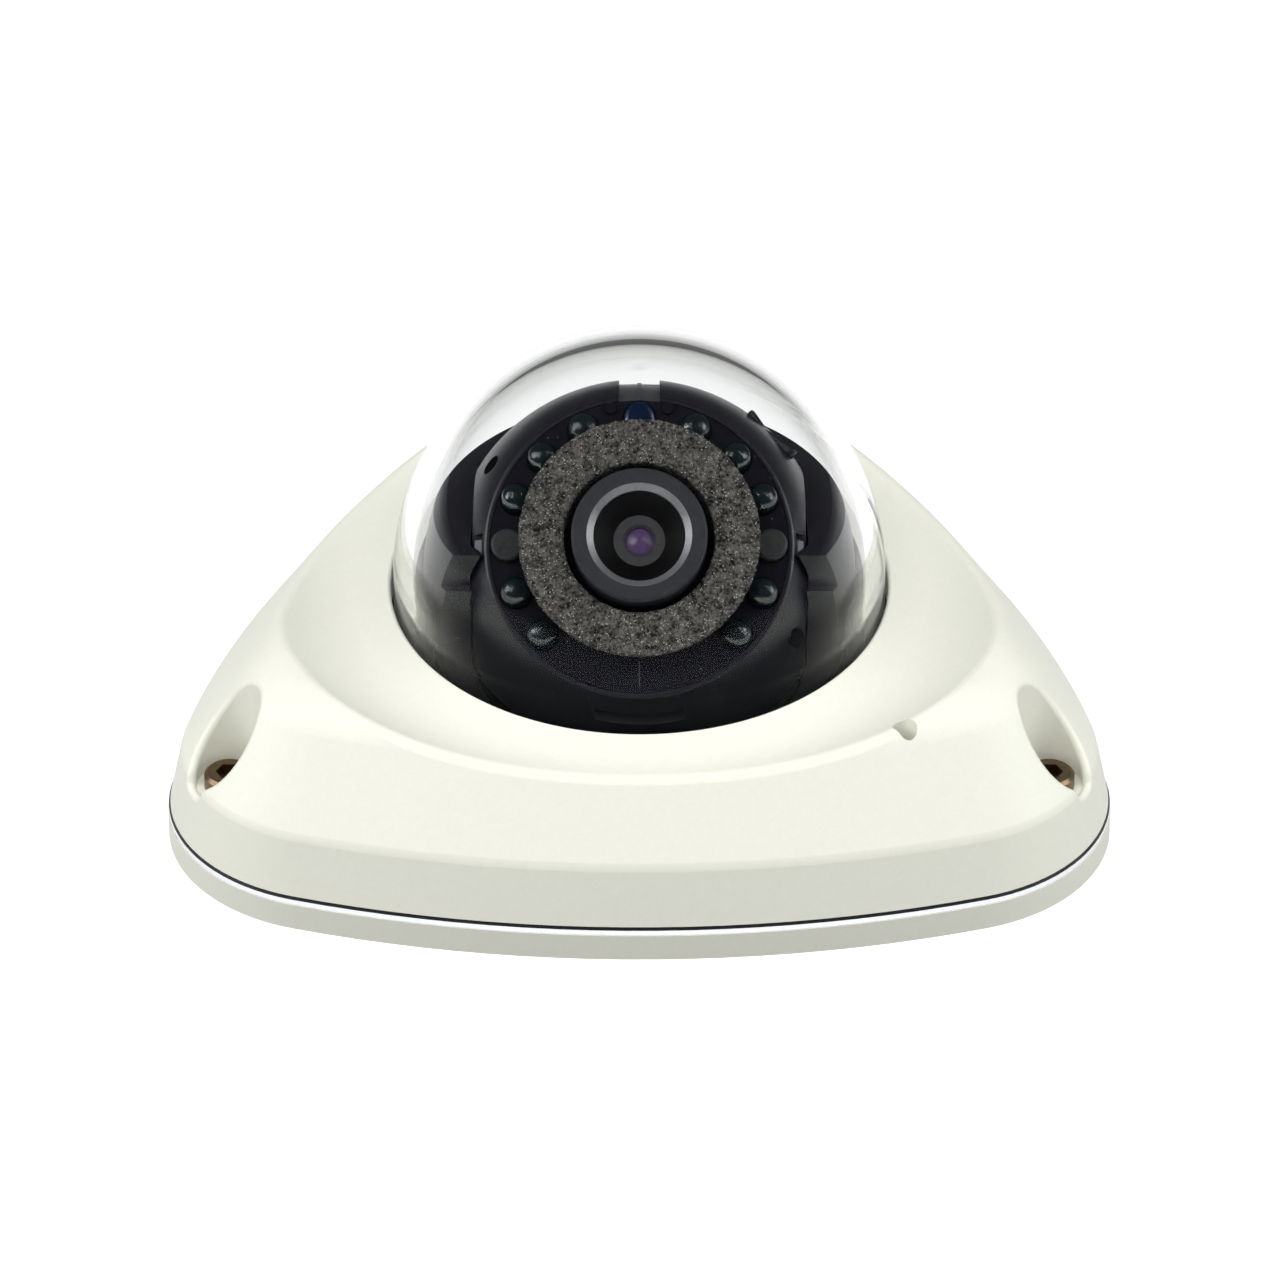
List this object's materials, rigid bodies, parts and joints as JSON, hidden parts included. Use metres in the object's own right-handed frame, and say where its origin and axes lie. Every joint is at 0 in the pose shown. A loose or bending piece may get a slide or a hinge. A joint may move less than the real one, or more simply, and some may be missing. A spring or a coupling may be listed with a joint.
{
  "type": "dome cctv camera",
  "caption": "Low dome security camera on a rounded-triangle base, with an infrared-ringed eyeball that pans and tilts inside a clear bubble.",
  "frame": {"origin": "centre of the three fixing holes on the base's mounting face, on the pan axis", "axes": "+Z away from the mounting surface through the bubble, -Y to the front, where the lens looks at rest, +X to the right seen from the front"},
  "size_m": [0.146, 0.1409, 0.0689],
  "materials": {
    "bare_aluminium": "machined satin aluminium",
    "bezel_grey": "satin grey anodised aluminium",
    "black_plastic": "fine textured black plastic",
    "brass_ring": "turned brass",
    "button_plastic": "moulded plastic",
    "cap_rubber": "grained black rubber",
    "chip_black": "moulded epoxy",
    "circuit_board": "solder mask over glass laminate",
    "clear_polycarbonate": "clear polished polycarbonate",
    "dark_steel": "dark bronze plated steel",
    "foam": "open-cell charcoal sponge",
    "insert_grey": "polished grey plastic",
    "ivory_coat": "fine textured ivory powder coat",
    "led_resin": "dark infrared-pass resin",
    "lens_black": "black anodised aluminium",
    "lens_glass": "coated optical glass",
    "satin_black": "semi-gloss black plastic",
    "seal_rubber": "matt black rubber",
    "sensor_glass": "dark blue filter resin",
    "steel": "plated steel"
  },
  "bodies": {
    "base": {"base_gasket": "seal_rubber", "base_plate": "ivory_coat", "board_screws": "steel", "cable_gland": "seal_rubber", "card_holder": "steel", "clamp_screws": "steel", "cover": "ivory_coat", "cover_screws": "dark_steel", "dome_bubble": "clear_polycarbonate", "dome_clamp": "bare_aluminium", "dome_gasket": "seal_rubber", "main_board": "circuit_board", "microphone": "chip_black", "network_socket": "black_plastic", "processor": "chip_black", "reset_switch": "chip_black", "seal_frame": "bare_aluminium", "seat_screws": "steel", "turntable_retainer": "black_plastic", "turntable_seat": "black_plastic"},
    "pan_bracket": {"turntable": "black_plastic", "yoke": "satin_black", "yoke_screws": "steel"},
    "eyeball": {"eye_rear": "satin_black", "eye_shell": "satin_black", "foam_ring": "foam", "image_sensor": "chip_black", "ir_leds": "led_resin", "led_board": "circuit_board", "led_plate": "black_plastic", "lens_holder": "black_plastic", "lens_lock_ring": "brass_ring", "light_sensor": "sensor_glass", "notch_insert": "insert_grey", "sensor_board": "circuit_board", "sensor_screws": "steel", "side_caps": "cap_rubber", "tilt_pins": "steel"},
    "lens": {"front_glass": "lens_glass", "lens_barrel": "lens_black", "lens_bezel": "bezel_grey", "lens_head": "lens_black", "lens_inner_ring": "lens_black", "rear_glass": "lens_glass"},
    "reset_key": {"reset_button": "button_plastic"}
  },
  "joints": [
    {"name": "pan", "type": "hinge", "parent": "base", "child": "pan_bracket", "pos_m": [0, 0, 0.0119], "axis": [0, 0, 1], "range_deg": [-175, 175]},
    {"name": "tilt", "type": "hinge", "parent": "pan_bracket", "child": "eyeball", "pos_m": [0, 0, 0.0306], "axis": [-1, 0, 0], "range_deg": [-25, 45]},
    {"name": "focus", "type": "hinge", "parent": "eyeball", "child": "lens", "pos_m": [0, 0, 0.0306], "axis": [0, -0.7071, 0.7071], "range_deg": [-90, 90]},
    {"name": "reset_press", "type": "slide", "parent": "base", "child": "reset_key", "axis": [0, 0, -1], "range_m": [0, 0.0004], "stiffness_N_per_m": 200, "springref_m": -0.0005}
  ]
}
